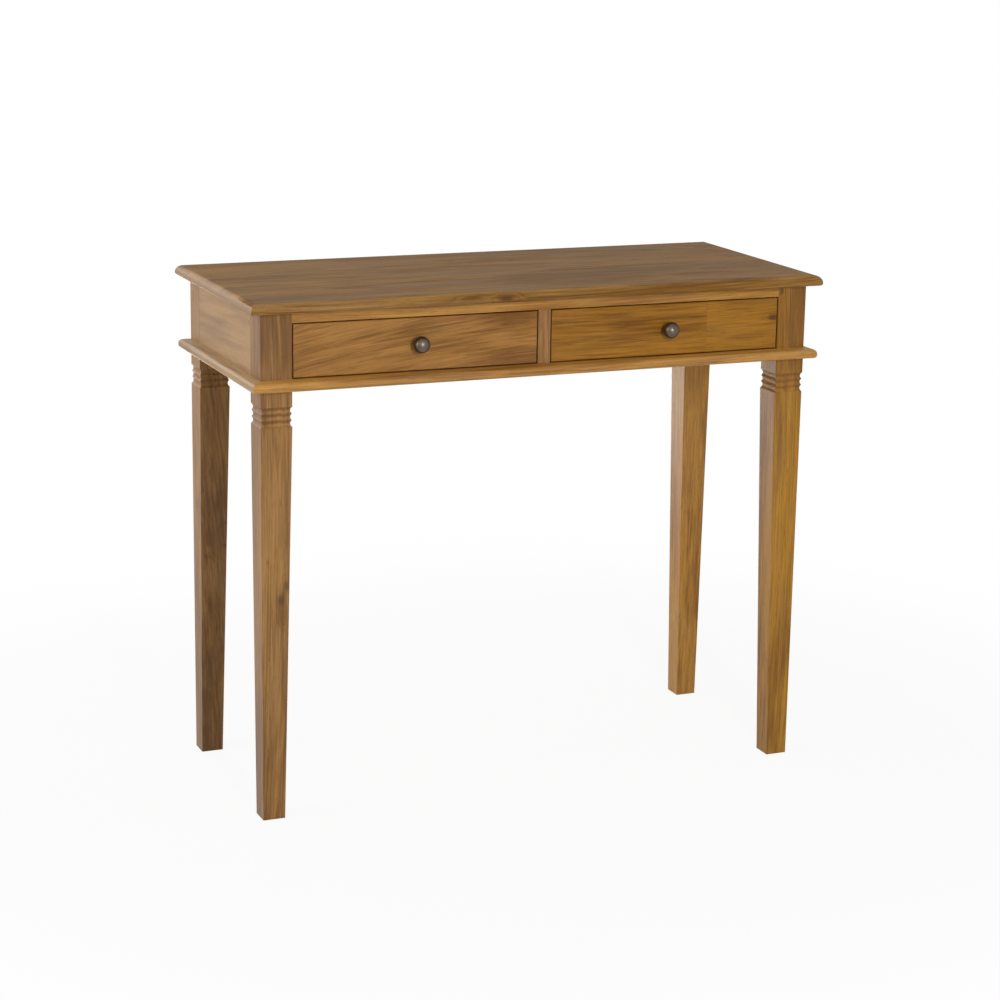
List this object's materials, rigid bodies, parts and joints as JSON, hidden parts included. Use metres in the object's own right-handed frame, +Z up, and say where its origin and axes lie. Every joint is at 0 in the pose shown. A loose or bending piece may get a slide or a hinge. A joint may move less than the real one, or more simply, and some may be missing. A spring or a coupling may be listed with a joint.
{
  "type": "writing desk with drawers",
  "caption": "Slim wooden writing desk with a moulded top, drawers side by side on round knobs, a skirt moulding and square tapered legs with coved necks.",
  "frame": {"origin": "on the floor under the middle of the desk's box, knobs included", "axes": "+X along the front to the right, +Y from the front to the back, +Z up"},
  "size_m": [0.92, 0.4066, 0.78],
  "materials": {
    "finished_teak": "honey-brown teak, waxed satin",
    "top_teak": "honey-brown teak boards, waxed satin",
    "drawer_teak": "golden teak, waxed satin",
    "plain_teak": "planed teak, left unfinished",
    "bottom_ply": "thin plywood, sanded",
    "knob_metal": "dark aged pewter colour, softly polished",
    "screw_steel": "zinc-plated steel"
  },
  "bodies": {
    "frame": {"front_left_leg": "finished_teak", "front_right_leg": "finished_teak", "rear_right_leg": "finished_teak", "rear_left_leg": "finished_teak", "left_apron": "finished_teak", "right_apron": "finished_teak", "back_apron": "finished_teak", "front_top_rail": "finished_teak", "front_bottom_rail": "finished_teak", "drawer_divider": "finished_teak", "front_moulding": "finished_teak", "right_moulding": "finished_teak", "back_moulding": "finished_teak", "left_moulding": "finished_teak", "top_board_1": "top_teak", "top_board_2": "top_teak", "top_board_3": "top_teak", "top_board_4": "top_teak", "top_board_5": "top_teak", "centre_bearer": "plain_teak", "centre_guide": "plain_teak", "centre_kicker": "plain_teak", "left_runner": "plain_teak", "left_guide": "plain_teak", "left_kicker": "plain_teak", "right_runner": "plain_teak", "right_guide": "plain_teak", "right_kicker": "plain_teak", "drawer_stops": "plain_teak", "top_screws": "screw_steel"},
    "left_drawer": {"left_drawer_front": "drawer_teak", "left_drawer_left_side": "plain_teak", "left_drawer_right_side": "plain_teak", "left_drawer_back": "plain_teak", "left_drawer_bottom": "bottom_ply", "left_drawer_knob": "knob_metal", "left_drawer_knob_screw": "screw_steel"},
    "right_drawer": {"right_drawer_front": "drawer_teak", "right_drawer_left_side": "plain_teak", "right_drawer_right_side": "plain_teak", "right_drawer_back": "plain_teak", "right_drawer_bottom": "bottom_ply", "right_drawer_knob": "knob_metal", "right_drawer_knob_screw": "screw_steel"}
  },
  "joints": [
    {"name": "left_drawer_slide", "type": "slide", "parent": "frame", "child": "left_drawer", "axis": [0, -1, 0], "range_m": [0, 0.22]},
    {"name": "right_drawer_slide", "type": "slide", "parent": "frame", "child": "right_drawer", "axis": [0, -1, 0], "range_m": [0, 0.22]}
  ]
}
